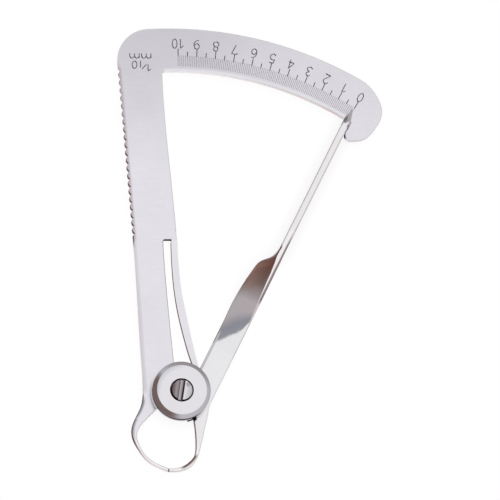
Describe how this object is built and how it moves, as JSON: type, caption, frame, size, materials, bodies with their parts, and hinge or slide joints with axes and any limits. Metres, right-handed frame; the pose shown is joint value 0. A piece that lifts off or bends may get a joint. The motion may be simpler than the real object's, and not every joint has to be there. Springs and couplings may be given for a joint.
{
  "type": "caliper gauge",
  "caption": "Outside caliper gauge: two bowed jaws on a screw pivot, a twisted lever pointer, a leaf spring and an arc scale on a serrated plate.",
  "frame": {"origin": "centre of the rear face of the back collar, on the pivot axis", "axes": "+Z along the pivot axis out of the scale side, +Y from the pivot up the serrated leg to the scale, +X towards the zero end of the scale"},
  "size_m": [0.0618, 0.105, 0.0078],
  "materials": {
    "plate_steel": "nickel plated, satin polished",
    "arm_steel": "nickel plated, polished",
    "spring_steel": "nickel plated, satin polished",
    "collar_steel": "turned and plated",
    "screw_steel": "turned, bare"
  },
  "bodies": {
    "frame": {"scale_frame": "plate_steel", "front_boss": "collar_steel", "back_boss": "collar_steel", "pivot_screw": "screw_steel"},
    "arm": {"pointer_arm": "arm_steel"},
    "spring": {"spring_tongue": "spring_steel"}
  },
  "joints": [
    {"name": "jaw_pivot", "type": "hinge", "parent": "frame", "child": "arm", "pos_m": [0, 0, 0.00345], "axis": [0, 0, 1], "range_deg": [0, 31.1], "stiffness_Nm_per_rad": 0.035, "springref_deg": -16.04},
    {"name": "spring_flex", "type": "hinge", "parent": "frame", "child": "spring", "pos_m": [-0.0011, 0.0354, 0.00345], "axis": [0, 0, 1], "range_deg": [-7, 0]}
  ],
  "couplings": [
    {"joint": "spring_flex", "follows": "jaw_pivot", "ratio": -0.225}
  ]
}
